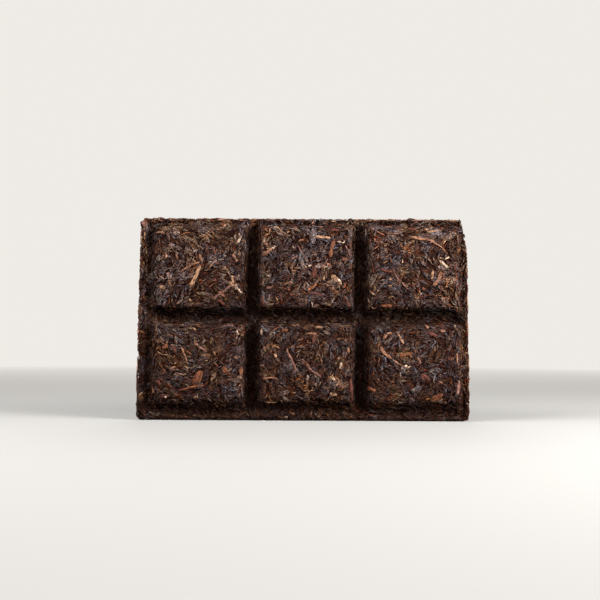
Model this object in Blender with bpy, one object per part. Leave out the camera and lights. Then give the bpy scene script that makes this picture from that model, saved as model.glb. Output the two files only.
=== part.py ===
"""A brick of pressed ripe tea, scored into six pillows and standing on one long edge.

The brick is built lying on its back, the way it comes out of the press: X runs along it,
Y up the face and Z out of the face. An empty then stands it up. Its side walls taper
towards the back, as a press mould's do, so on its edge the brick leans back by that taper.
Units are metres, +Z is up, and the pillows face -Y.
"""

import math

import bmesh
import bpy
from mathutils import Matrix, Vector, noise

MM = 0.001

# The plate that carries the pillows
BRICK_LENGTH = 100.0 * MM
BRICK_HEIGHT = 61.5 * MM
PLATE_THICKNESS = 9.0 * MM
SIDE_TAPER = math.radians(5.0)
CORNER_RADIUS = 1.6 * MM
CORNER_SEGMENTS = 4
BACK_EDGE_RADIUS = 0.6 * MM
BACK_EDGE_SEGMENTS = 2
FACE_EDGE_RADIUS = 0.6 * MM
FACE_EDGE_STATIONS = (0.0, 0.12, 0.42, 1.0)  # where that rounding has its grid lines, as shares of it

# The die: scoring lines, and the border from the outline to the flat of the pillows
SCORE_LINES_X = (-15.4 * MM, 17.2 * MM)
SCORE_LINE_Y = 0.28 * MM
SCORE_WIDTH_X = 5.95 * MM
SCORE_WIDTH_Y = 6.2 * MM
SCORE_FLOOR_X = 1.55 * MM
SCORE_FLOOR_Y = 0.8 * MM
SCORE_DEPTH = 5.4 * MM
BORDER = {"left": 6.5 * MM, "right": 3.5 * MM, "bottom": 6.6 * MM, "top": 3.8 * MM}

# The lip that the die squeezes up round the outline, and the channel inside it
LIP_WIDTH = {"left": 3.0 * MM, "right": 1.5 * MM, "bottom": 1.7 * MM, "top": 1.25 * MM}
LIP_HEIGHT = 0.8 * MM
LIP_SHOULDER = 0.5 * MM
CHANNEL_WIDTH = 0.4 * MM

# The lower lip is widest at its middle, by this much, and narrows to LIP_WIDTH at this distance from it
LIP_SWELL = 1.2 * MM
LIP_SWELL_REACH = 25.0 * MM

# The pillows, by their height above that channel
PILLOW_HEIGHT = 3.6 * MM
PILLOW_CROWN = 0.8 * MM
SLOPE_STATIONS = (0.0, 0.15, 0.32, 0.5, 0.68, 0.85, 1.0)
FLAT_STATIONS = (0.12, 0.31, 0.5, 0.69, 0.88)

# Unevenness of the pressed leaf
UNEVEN_HEIGHT = 0.16 * MM
UNEVEN_SPACING = 5.0 * MM

# The rubbed corner, by the length that is lost along each edge
RUBBED_X = 1.7 * MM
RUBBED_Y = 8.5 * MM

OVERSHOOT = 2.0 * MM  # how far the pressed block and the cutters run past the mould
FLAT_TOLERANCE = 0.0001 * MM

LEAF_COLOUR = (0.052, 0.026, 0.018, 1.0)
LEAF_ROUGHNESS = 0.62
SHARP_EDGE = math.radians(40.0)

HALF_LENGTH = BRICK_LENGTH / 2
HALF_HEIGHT = BRICK_HEIGHT / 2


def outer_slope(side):
    """How far a pillow's outer slope runs: from its flat down to the channel inside the lip."""
    return BORDER[side] - LIP_WIDTH[side] - CHANNEL_WIDTH


def pillow_row(half_size, low_side, high_side, score_lines, score_width, score_floor):
    """The pillows along one axis, each as (start, end, slope before, slope after)."""
    inner = (score_width - score_floor) / 2
    starts = [BORDER[low_side] - half_size] + [line + score_width / 2 for line in score_lines]
    ends = [line - score_width / 2 for line in score_lines] + [half_size - BORDER[high_side]]
    before = [outer_slope(low_side)] + [inner] * len(score_lines)
    after = [inner] * len(score_lines) + [outer_slope(high_side)]
    return list(zip(starts, ends, before, after))


def smooth_step(share):
    """0 below 0, 1 above 1, and an even rise between them."""
    share = min(1.0, max(0.0, share))
    return share * share * (3.0 - 2.0 * share)


def drop_outside(place, band):
    """0 on a band's flat, rising to 1 at the foot of its slopes and beyond."""
    start, end, before, after = band
    if place < start:
        return (start - place) / before
    if place > end:
        return (place - end) / after
    return 0.0


def crown_across(place, band):
    """1 in the middle of a band and 0 at its edges, as a parabola."""
    middle = (band[0] + band[1]) / 2
    half = (band[1] - band[0]) / 2
    return max(0.0, 1.0 - ((place - middle) / half) ** 2)


def pillow_height(x, y, columns, rows):
    """Height of the nearest pillow above the channel round the border."""
    column = min(columns, key=lambda band: drop_outside(x, band))
    row = min(rows, key=lambda band: drop_outside(y, band))
    drop = math.hypot(drop_outside(x, column), drop_outside(y, row))
    crown = crown_across(x, column) * crown_across(y, row)
    return PILLOW_HEIGHT * smooth_step(1.0 - drop) + PILLOW_CROWN * crown


def insets(x, y):
    """How far in from each side of the outline a point lies."""
    return {
        "left": x + HALF_LENGTH,
        "right": HALF_LENGTH - x,
        "bottom": y + HALF_HEIGHT,
        "top": HALF_HEIGHT - y,
    }


def lip_height(x, y):
    """Height of the lip above the channel, whichever side's is highest here."""
    highest = 0.0
    for side, inset in insets(x, y).items():
        shoulder = (LIP_WIDTH[side] - inset) / LIP_SHOULDER
        highest = max(highest, LIP_HEIGHT * smooth_step(shoulder))
    return highest


def edge_drop(x, y):
    """How far the face falls away round its outer edge, along a quarter circle."""
    nearest = min(insets(x, y).values())
    share = min(1.0, max(0.0, 1.0 - nearest / FACE_EDGE_RADIUS))
    return FACE_EDGE_RADIUS * (1.0 - math.sqrt(1.0 - share * share))


def off_line(distance, width, floor):
    """0 on the floor of a groove, rising to 1 at its edge."""
    return max(0.0, (distance - floor / 2) / ((width - floor) / 2))


def score_depth(x, y):
    """Depth of the scoring below the channel: it runs between the pillows and fades out in the border."""
    across = off_line(min(abs(x - line) for line in SCORE_LINES_X), SCORE_WIDTH_X, SCORE_FLOOR_X)
    up = off_line(abs(y - SCORE_LINE_Y), SCORE_WIDTH_Y, SCORE_FLOOR_Y)
    inside = 1.0
    for side, inset in insets(x, y).items():
        foot = LIP_WIDTH[side] + CHANNEL_WIDTH
        inside = min(inside, smooth_step((inset - foot) / (BORDER[side] - foot)))
    return (SCORE_DEPTH - PILLOW_HEIGHT) * inside * smooth_step(1.0 - min(across, up))


def face_height(x, y, columns, rows):
    """Height of the pressed face above the back of the brick."""
    uneven = UNEVEN_HEIGHT * noise.noise(Vector((x, y, 0.0)) / UNEVEN_SPACING)
    relief = max(pillow_height(x, y, columns, rows), lip_height(x, y)) - score_depth(x, y)
    return PLATE_THICKNESS + relief - edge_drop(x, y) + uneven


def swollen(x, y):
    """Where the point at (x, y) lies once the lower lip has its swell: only points in that border move."""
    across = max(0.0, 1.0 - (x / LIP_SWELL_REACH) ** 2)
    inset = y + HALF_HEIGHT
    rise = inset / LIP_WIDTH["bottom"]
    fall = (BORDER["bottom"] - inset) / outer_slope("bottom")
    return y + LIP_SWELL * across * across * min(1.0, max(0.0, min(rise, fall)))


def stations(pillows, half_size, low_side, high_side):
    """Where the grid lines of the face lie along one axis: lips, slopes and flats."""
    found = [-half_size - OVERSHOOT, half_size + OVERSHOOT]
    for edge, inward, side in ((-half_size, 1, low_side), (half_size, -1, high_side)):
        lip = LIP_WIDTH[side]
        rounded = [FACE_EDGE_RADIUS * share for share in FACE_EDGE_STATIONS]
        for inset in rounded + [lip - LIP_SHOULDER, lip - LIP_SHOULDER / 2, lip]:
            found.append(edge + inward * inset)
    for start, end, before, after in pillows:
        found += [start - before * share for share in SLOPE_STATIONS]
        found += [end + after * share for share in SLOPE_STATIONS]
        found += [start + (end - start) * share for share in FLAT_STATIONS]
    return sorted(found)


def add_to(collection, name, mesh):
    """A new object of that mesh in the collection."""
    thing = bpy.data.objects.new(name, mesh)
    collection.objects.link(thing)
    return thing


def make_pressed_block(collection):
    """The leaf as the die leaves it: a grid shaped by face_height, closed by a flat back."""
    columns = pillow_row(HALF_LENGTH, "left", "right", SCORE_LINES_X, SCORE_WIDTH_X, SCORE_FLOOR_X)
    rows = pillow_row(HALF_HEIGHT, "bottom", "top", (SCORE_LINE_Y,), SCORE_WIDTH_Y, SCORE_FLOOR_Y)
    across = stations(columns, HALF_LENGTH, "left", "right")
    up = stations(rows, HALF_HEIGHT, "bottom", "top")
    shape = bmesh.new()
    bmesh.ops.create_grid(shape, x_segments=len(across) - 1, y_segments=len(up) - 1, size=1.0)
    for point in shape.verts:
        i = round((point.co.x + 1.0) / 2.0 * (len(across) - 1))
        j = round((point.co.y + 1.0) / 2.0 * (len(up) - 1))
        x, y = across[i], up[j]
        point.co = (x, swollen(x, y), face_height(x, y, columns, rows))
    border = [edge for edge in shape.edges if edge.is_boundary]
    walls = bmesh.ops.extrude_edge_only(shape, edges=border)["geom"]
    for point in walls:
        if isinstance(point, bmesh.types.BMVert):
            point.co.z = -OVERSHOOT
    bmesh.ops.holes_fill(shape, edges=[edge for edge in shape.edges if edge.is_boundary])
    bmesh.ops.recalc_face_normals(shape, faces=shape.faces)
    mesh = bpy.data.meshes.new("tea_brick")
    shape.to_mesh(mesh)
    shape.free()
    mesh.shade_smooth()
    mesh.set_sharp_from_angle(angle=SHARP_EDGE)
    return add_to(collection, "tea_brick", mesh)


def make_mould_cavity(collection):
    """The inside of the press mould: a block that widens towards the face, with round corners."""
    depth = PLATE_THICKNESS + PILLOW_HEIGHT + PILLOW_CROWN + OVERSHOOT
    shape = bmesh.new()
    bmesh.ops.create_cube(shape, size=1.0)
    for point in shape.verts:
        height = depth * (point.co.z + 0.5)
        grown = (height - PLATE_THICKNESS) * math.tan(SIDE_TAPER)
        point.co.x = math.copysign(HALF_LENGTH + grown, point.co.x)
        point.co.y = math.copysign(HALF_HEIGHT + grown, point.co.y)
        point.co.z = height
    upright = [edge for edge in shape.edges if abs(edge.verts[0].co.z - edge.verts[1].co.z) > depth / 2]
    bmesh.ops.bevel(
        shape, geom=upright, offset=CORNER_RADIUS, segments=CORNER_SEGMENTS, profile=0.5, affect="EDGES"
    )
    at_back = [edge for edge in shape.edges if max(end.co.z for end in edge.verts) < FLAT_TOLERANCE]
    bmesh.ops.bevel(
        shape, geom=at_back, offset=BACK_EDGE_RADIUS, segments=BACK_EDGE_SEGMENTS, profile=0.5, affect="EDGES"
    )
    bmesh.ops.recalc_face_normals(shape, faces=shape.faces)
    mesh = bpy.data.meshes.new("mould_cavity")
    shape.to_mesh(mesh)
    shape.free()
    return add_to(collection, "mould_cavity", mesh)


def make_corner_rub(collection):
    """A slanted block that takes off the rubbed corner at the top right of the face."""
    length = math.hypot(RUBBED_X, RUBBED_Y) + 2 * OVERSHOOT
    width = 2 * OVERSHOOT
    depth = 2 * (PLATE_THICKNESS + PILLOW_HEIGHT + OVERSHOOT)
    bpy.ops.mesh.primitive_cube_add(size=1.0)
    cutter = bpy.context.object
    cutter.name = "corner_rub"
    cutter.data.transform(Matrix.Diagonal((width, length, depth, 1.0)))
    slant = math.atan2(RUBBED_X, RUBBED_Y)
    middle = Vector((HALF_LENGTH - RUBBED_X / 2, HALF_HEIGHT - RUBBED_Y / 2, 0.0))
    outward = Vector((math.cos(slant), math.sin(slant), 0.0))
    cutter.location = middle + outward * width / 2
    cutter.rotation_euler = (0.0, 0.0, slant)
    for owner in list(cutter.users_collection):
        owner.objects.unlink(cutter)
    collection.objects.link(cutter)
    return cutter


def apply_cut(thing, cutter, operation):
    """Puts a Boolean with the cutter on the thing, and shows the cutter only as a wire."""
    cutter.hide_render = True
    cutter.display_type = "WIRE"
    cut = thing.modifiers.new(cutter.name, "BOOLEAN")
    cut.operation = operation
    cut.object = cutter
    cut.solver = "EXACT"


def leaf_material():
    """Dark, dull pressed leaf."""
    material = bpy.data.materials.new("pressed_leaf")
    material.use_nodes = True
    shader = material.node_tree.nodes["Principled BSDF"]
    shader.inputs["Base Color"].default_value = LEAF_COLOUR
    shader.inputs["Roughness"].default_value = LEAF_ROUGHNESS
    shader.inputs["Metallic"].default_value = 0.0
    material.diffuse_color = LEAF_COLOUR
    return material


def stand_on_edge(brick, cutters):
    """Tips the brick up on its lower long edge, and centres its box over the origin."""
    stand = bpy.data.objects.new("standing_on_edge", None)
    bpy.context.scene.collection.objects.link(stand)
    for thing in [brick] + cutters:
        thing.parent = stand
    stand.rotation_euler = (math.pi / 2 - SIDE_TAPER, 0.0, 0.0)
    bpy.context.view_layer.update()
    solid = brick.evaluated_get(bpy.context.evaluated_depsgraph_get())
    points = [solid.matrix_world @ point.co for point in solid.data.vertices]
    low = Vector([min(point[axis] for point in points) for axis in range(3)])
    high = Vector([max(point[axis] for point in points) for axis in range(3)])
    stand.location = (-(low.x + high.x) / 2, -(low.y + high.y) / 2, -low.z)


def main():
    """Builds the brick and its cutters in an empty scene."""
    for thing in list(bpy.data.objects):
        bpy.data.objects.remove(thing)
    parts = bpy.data.collections.new("tea_brick_parts")
    guides = bpy.data.collections.new("cutters")
    bpy.context.scene.collection.children.link(parts)
    bpy.context.scene.collection.children.link(guides)
    brick = make_pressed_block(parts)
    brick.data.materials.append(leaf_material())
    cavity = make_mould_cavity(guides)
    rub = make_corner_rub(guides)
    apply_cut(brick, cavity, "INTERSECT")
    apply_cut(brick, rub, "DIFFERENCE")
    stand_on_edge(brick, [cavity, rub])


main()
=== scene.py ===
"""The looks of a scored brick of pressed ripe tea: its core, the leaf pressed into it, and the stage."""

import functools
import math

import bmesh
import bpy
import numpy as np
from bpy.props import FloatProperty, FloatVectorProperty, IntProperty, PointerProperty
from bpy.types import Operator, Panel, PropertyGroup
from mathutils import Euler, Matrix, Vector, noise
from mathutils.bvhtree import BVHTree


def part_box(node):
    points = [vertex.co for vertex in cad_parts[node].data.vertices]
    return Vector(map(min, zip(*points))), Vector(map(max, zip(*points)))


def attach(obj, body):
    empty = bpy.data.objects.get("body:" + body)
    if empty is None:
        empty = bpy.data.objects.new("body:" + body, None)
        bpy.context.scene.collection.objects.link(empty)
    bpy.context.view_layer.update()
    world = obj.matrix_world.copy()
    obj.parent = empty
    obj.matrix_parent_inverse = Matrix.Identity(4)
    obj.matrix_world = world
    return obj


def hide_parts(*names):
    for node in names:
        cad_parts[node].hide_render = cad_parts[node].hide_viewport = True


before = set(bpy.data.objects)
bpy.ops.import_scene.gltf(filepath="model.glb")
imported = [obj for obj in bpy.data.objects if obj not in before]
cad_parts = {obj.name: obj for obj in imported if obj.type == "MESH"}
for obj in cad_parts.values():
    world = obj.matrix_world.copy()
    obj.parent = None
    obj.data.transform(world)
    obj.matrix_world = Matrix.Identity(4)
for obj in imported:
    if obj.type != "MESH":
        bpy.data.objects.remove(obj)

bl_info = {
    "name": "Pressed tea brick",
    "version": (1, 0, 0),
    "blender": (4, 5, 0),
    "location": "3D View > Sidebar > Tea Brick",
    "description": "Core, leaf, stems and stage for a scored brick of pressed ripe tea",
    "category": "Add Mesh",
}

NODE = "tea_brick"
BODY = "root"
MM = 0.001
LOW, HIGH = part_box(NODE)
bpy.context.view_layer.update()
# Y from which the nearest place on the brick is found, for a strand that runs past its outline.
FRONT_EDGE = -4.5 * MM

# Tone runs from 0, the darkest leaf, to 1, the palest. Each piece has TONE_LEAST and up to
# TONE_RANGE more, then more or less by smooth clouds, and less the deeper it is buried: a painted
# shade under the pieces above it.
TONE_LEAST = 0.08
TONE_RANGE = 0.80
CLOUD_TONE = 0.45
CLOUD_SIZE = 4.5 * MM
CLOUD_OFFSET = 7.0
BURIED_SHADE_TONE = 0.30
# How much tone the leaf loses from the top of the brick to its foot, and on the border, where the loss is a
# painted shade.
FOOT_TONE = 0.46
BORDER_SHADE_TONE = 0.16
BORDER_WIDTH = 5.0 * MM

# Painted shade: depth in the scoring, in millimetres, darkens the colour where shade falls there. The foot
# counts as deeper, up to FOOT_REACH, so painted shade lies near the foot too.
FOOT_PAINTED_SHADE = 2.2
FOOT_REACH = 9.0 * MM
# Colours start to darken with painted shade at the first depth, and are darkened by the share below at the
# second.
PAINTED_SHADE_DEPTHS = (0.3, 1.9)
PAINTED_SHADE_SHARE = 0.6
# Colours of the painted shade, for leaf and for stems.
PAINTED_SHADE_LEAF = (0.012, 0.005, 0.003)
PAINTED_SHADE_STEM = (0.020, 0.008, 0.004)

# Tints that multiply the leaf's colour in patches: reddish, yellowish and bluish.
RUDDY = (1.0, 0.60, 0.44)
OCHRE = (1.08, 1.0, 0.74)
SLATE = (0.84, 1.0, 1.14)
# How many patches, scraps or specks of each pattern go to a metre.
REGION_SCALE = 170.0
PATCH_SCALE = 230.0
SCRAP_SCALE = 1000.0 / 1.4
HUE_SCALE = 1250.0
GRIT_SCALE = 2100.0
SPECK_SCALE = 2600.0
CREASE_SCALE = 4200.0

# Side of a square lamp, as a share of its distance.
LAMP_SIDE = 0.6
# The floor passes into the colour of the backdrop between these distances from the middle of the
# brick, in metres.
FLOOR_FADE = (0.08, 0.6)


# ---------------------------------------------------------------- settings


def length_setting(name, description, default_mm):
    """A size that shows in the sidebar, given here in millimetres."""
    return FloatProperty(
        name=name, description=description, default=default_mm * MM, unit="LENGTH", precision=5, min=0.0
    )


def colour_setting(name, description, default):
    """A colour that shows in the sidebar, in linear red, green and blue."""
    return FloatVectorProperty(
        name=name, description=description, default=default, size=3, subtype="COLOR", min=0.0, max=1.0
    )


def leaf_settings(name, seed, count, length, width, thickness, rise, colours, roughness):
    """A PropertyGroup for one kind of leaf. Ranges are (least, most), in millimetres."""
    fields = {
        "count": IntProperty(
            name="Count", description="How many pieces lie on the brick", default=count, min=1
        ),
        "seed": IntProperty(name="Seed", description="Which random arrangement", default=seed, min=0),
        "shortest": length_setting("Shortest", "Length of the shortest piece", length[0]),
        "longest": length_setting("Longest", "Length of the longest piece", length[1]),
        "narrowest": length_setting("Narrowest", "Width of the narrowest piece", width[0]),
        "widest": length_setting("Widest", "Width of the widest piece", width[1]),
        "thinnest": length_setting("Thinnest", "Thickness of the thinnest piece", thickness[0]),
        "thickest": length_setting("Thickest", "Thickness of the thickest piece", thickness[1]),
        "rise": length_setting("Rise", "How far a piece may stand out of the brick", rise),
        "dark": colour_setting("Dark", "Colour of the darkest pieces", colours[0]),
        "middle": colour_setting("Middle", "Colour of the usual piece", colours[1]),
        "warm": colour_setting("Warm", "Colour of the warmer pieces", colours[2]),
        "pale": colour_setting("Pale", "Colour of the palest pieces", colours[3]),
        "roughness": FloatProperty(
            name="Roughness", description="Mean roughness", default=roughness, min=0.0, max=1.0
        ),
    }
    return type(name, (PropertyGroup,), {"__annotations__": fields, "__doc__": f"Sizes and colours: {name}."})


BroadLeafSettings = leaf_settings(
    "BroadLeafSettings", seed=17, count=3100, length=(1.8, 4.8), width=(0.8, 2.0),
    thickness=(0.30, 0.50), rise=0.11, roughness=0.48,
    colours=((0.029, 0.015, 0.013), (0.095, 0.062, 0.055), (0.119, 0.087, 0.078), (0.190, 0.138, 0.131)),
)
# Brown leaf and golden tips share a seed, so they gather in the same patches.
BrownLeafSettings = leaf_settings(
    "BrownLeafSettings", seed=17, count=2200, length=(1.4, 3.6), width=(0.6, 1.3),
    thickness=(0.28, 0.45), rise=0.13, roughness=0.55,
    colours=((0.047, 0.023, 0.015), (0.158, 0.097, 0.067), (0.214, 0.136, 0.095), (0.323, 0.230, 0.205)),
)
RolledLeafSettings = leaf_settings(
    "RolledLeafSettings", seed=18, count=3900, length=(1.4, 3.8), width=(0.36, 0.80),
    thickness=(0.28, 0.50), rise=0.13, roughness=0.44,
    colours=((0.026, 0.015, 0.013), (0.084, 0.056, 0.050), (0.121, 0.088, 0.079), (0.228, 0.169, 0.163)),
)
GreyLeafSettings = leaf_settings(
    "GreyLeafSettings", seed=16, count=2000, length=(1.4, 3.4), width=(0.34, 0.80),
    thickness=(0.28, 0.48), rise=0.14, roughness=0.38,
    colours=((0.038, 0.025, 0.027), (0.115, 0.093, 0.095), (0.153, 0.129, 0.129), (0.257, 0.205, 0.215)),
)
FineLeafSettings = leaf_settings(
    "FineLeafSettings", seed=16, count=5600, length=(0.9, 2.8), width=(0.20, 0.42),
    thickness=(0.20, 0.36), rise=0.14, roughness=0.48,
    colours=((0.029, 0.015, 0.013), (0.113, 0.076, 0.064), (0.167, 0.125, 0.109), (0.251, 0.196, 0.209)),
)
RedLeafSettings = leaf_settings(
    "RedLeafSettings", seed=15, count=1000, length=(1.2, 4.0), width=(0.35, 0.80),
    thickness=(0.30, 0.50), rise=0.16, roughness=0.50,
    colours=((0.064, 0.018, 0.008), (0.176, 0.062, 0.033), (0.301, 0.121, 0.070), (0.442, 0.266, 0.203)),
)
GoldenTipSettings = leaf_settings(
    "GoldenTipSettings", seed=17, count=620, length=(0.9, 3.0), width=(0.30, 0.80),
    thickness=(0.28, 0.45), rise=0.18, roughness=0.58,
    colours=((0.134, 0.064, 0.030), (0.293, 0.164, 0.092), (0.395, 0.289, 0.227), (0.396, 0.365, 0.367)),
)
CrumbSettings = leaf_settings(
    "CrumbSettings", seed=13, count=3000, length=(0.25, 0.70), width=(0.20, 0.45),
    thickness=(0.18, 0.36), rise=0.14, roughness=0.56,
    colours=((0.029, 0.018, 0.013), (0.104, 0.067, 0.052), (0.176, 0.113, 0.084), (0.352, 0.264, 0.246)),
)


class StemSettings(PropertyGroup):
    """Stems, flakes and the leaf along the lip."""

    lip_count: IntProperty(
        name="Lip count", description="How many strands lie along the lip", default=90, min=1
    )
    seed: IntProperty(name="Seed", description="Which random arrangement", default=12, min=0)
    rise: length_setting("Rise", "How far a stem may stand out of the brick", 0.17)
    thickness: length_setting("Thickness", "Thickness of a stem", 0.44)
    rust: colour_setting("Rust", "Colour of the red-brown flakes", (0.098, 0.030, 0.020))
    burnt: colour_setting("Burnt", "Colour of the deep orange flakes", (0.150, 0.052, 0.024))
    rose: colour_setting("Rose", "Colour of the pinkish flakes", (0.175, 0.086, 0.064))
    orange: colour_setting("Orange", "Colour of the orange stems", (0.230, 0.108, 0.062))
    tan: colour_setting("Tan", "Colour of the tan stems", (0.305, 0.165, 0.094))
    straw: colour_setting("Straw", "Colour of the palest stems", (0.480, 0.335, 0.235))


class CoreSettings(PropertyGroup):
    """Sizes and colours of the pressed core under the leaf."""

    voxel: length_setting("Voxel", "Spacing of the core's own surface", 0.54)
    bed_voxel: length_setting("Bed voxel", "Spacing of the surface that leaf is laid on", 0.60)
    sunk: length_setting("Sunk", "How deep the core lies under the pressed face", 0.52)
    relief: length_setting("Relief", "Height of the leaf relief pressed into the core", 0.24)
    relief_spacing: length_setting("Relief spacing", "Distance between the bumps of the relief", 1.1)
    colour: colour_setting("Colour", "Colour of the core", (0.007, 0.003, 0.003))


def angle_setting(name, description, degrees):
    """An angle that shows in the sidebar, given here in degrees."""
    return FloatProperty(name=name, description=description, default=math.radians(degrees), subtype="ANGLE")


class StageSettings(PropertyGroup):
    """Camera, lamps and floor."""

    distance: length_setting("Camera distance", "From the lens to the middle of the brick", 320.0)
    eye_height: length_setting("Camera height", "From the floor to the lens", 24.9)
    aside: FloatProperty(name="Camera aside", description="How far left of the middle", default=1.0 * MM)
    pitch: angle_setting("Pitch", "Upward tilt", 2.05)
    roll: angle_setting("Roll", "Turn about the view", 0.3)
    lens: FloatProperty(name="Lens", description="Focal length on a 36 mm sensor", default=62.8)
    floor: colour_setting("Floor", "Colour of the floor", (0.33, 0.32, 0.305))
    backdrop: colour_setting("Backdrop", "Colour behind the brick", (0.86, 0.83, 0.79))
    fill: FloatProperty(name="Fill", description="Strength of the even light from all round", default=0.01)
    left_watts: FloatProperty(name="Left", description="Power of the lamp to the left", default=1.85)
    right_watts: FloatProperty(name="Right", description="Power of the lamp to the right", default=3.85)
    front_watts: FloatProperty(name="Front", description="Power of the low lamp in front", default=1.05)
    back_watts: FloatProperty(name="Back", description="Power of the dim lamp behind", default=1.2)
    side_distance: length_setting("Side distance", "From the middle of the brick to the side lamps", 340.0)
    front_distance: length_setting("Front distance", "From the middle of the brick to the front lamp", 500.0)
    side_turn: angle_setting("Side turn", "Turn of the side lamps from the front", 62.0)
    left_height: angle_setting("Left height", "Height of the left lamp above the level", 42.0)
    right_height: angle_setting("Right height", "Height of the right lamp above the level", 20.0)
    front_height: angle_setting("Front height", "Height of the front lamp above the level", 20.0)
    back_height: angle_setting("Back height", "Height of the back lamp above the level", 35.0)


# ---------------------------------------------------------------- materials


class Sock:
    """A shader socket on which Python's operators add Math nodes."""

    def __init__(self, tree, socket):
        self.tree = tree
        self.socket = socket

    def maths(self, operation, *values):
        node = self.tree.nodes.new("ShaderNodeMath")
        node.operation = operation
        for socket, value in zip(node.inputs, values):
            if isinstance(value, Sock):
                self.tree.links.new(value.socket, socket)
            else:
                socket.default_value = value
        return Sock(self.tree, node.outputs[0])

    def __add__(self, other):
        return self.maths("ADD", self, other)

    def __radd__(self, other):
        return self.maths("ADD", other, self)

    def __sub__(self, other):
        return self.maths("SUBTRACT", self, other)

    def __rsub__(self, other):
        return self.maths("SUBTRACT", other, self)

    def __mul__(self, other):
        return self.maths("MULTIPLY", self, other)

    def __rmul__(self, other):
        return self.maths("MULTIPLY", other, self)

    def clamped(self):
        """Kept between 0 and 1."""
        return self.maths("MAXIMUM", self.maths("MINIMUM", self, 1.0), 0.0)

    def over(self, low, high):
        """0 at low and below, 1 at high and above."""
        return ((self - low) * (1.0 / (high - low))).clamped()


class Finish:
    """A material and its Principled shader, with one method for each way of adding nodes."""

    def __init__(self, name):
        self.material = bpy.data.materials.new(name)
        self.material.use_nodes = True
        self.tree = self.material.node_tree
        self.shader = self.tree.nodes["Principled BSDF"]

    def node(self, kind, settings=None, sockets=None, output=0):
        """Adds a node: its settings first, then the values or links of its sockets."""
        node = self.tree.nodes.new("ShaderNode" + kind)
        for name, value in (settings or {}).items():
            if name == "stops":
                set_stops(node.color_ramp, value)
            else:
                setattr(node, name, value)
        for name, value in (sockets or {}).items():
            self.feed(node.inputs[name], value)
        return Sock(self.tree, node.outputs[output])

    def feed(self, socket, value):
        if isinstance(value, Sock):
            self.tree.links.new(value.socket, socket)
        else:
            socket.default_value = value

    def attribute(self, name, output):
        """A value stored on the mesh's points."""
        return self.node("Attribute", {"attribute_name": name}, output=output)

    def noise(self, place, scale, detail=2.0, roughness=0.5):
        """Smooth noise from about 0 to 1."""
        sockets = {"Vector": place, "Scale": scale, "Detail": detail, "Roughness": roughness}
        return self.node("TexNoise", {}, sockets, output="Fac")

    def scaled(self, vector, factors):
        return self.node("VectorMath", {"operation": "MULTIPLY"}, {0: vector, 1: factors})

    def mix(self, share, first, second, blend="MIX"):
        """Mixes two colours, each a socket or three numbers."""
        node = self.tree.nodes.new("ShaderNodeMix")
        node.data_type = "RGBA"
        node.blend_type = blend
        for identifier, value in (("Factor_Float", share), ("A_Color", first), ("B_Color", second)):
            socket = next(item for item in node.inputs if item.identifier == identifier)
            self.feed(socket, value if isinstance(value, (Sock, float)) else (*value, 1.0))
        return Sock(self.tree, next(item for item in node.outputs if item.identifier == "Result_Color"))

    def with_painted_shade(self, colour, deep):
        """Darkens a colour towards a deep one in the scoring and near the foot."""
        depth = self.attribute("shelter", "Fac").over(*PAINTED_SHADE_DEPTHS)
        return self.mix(depth * PAINTED_SHADE_SHARE, colour, deep)

    def set(self, **sockets):
        """Sets the Principled shader's sockets; a space in a socket's name is written as _."""
        for name, value in sockets.items():
            self.feed(self.shader.inputs[name.replace("_", " ")], value)
        return self.material


def set_stops(ramp, stops):
    """Gives a colour ramp these (position, colour) stops."""
    while len(ramp.elements) < len(stops):
        ramp.elements.new(1.0)
    for element, (position, colour) in zip(ramp.elements, stops):
        element.position = position
        element.color = (*colour, 1.0)


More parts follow.
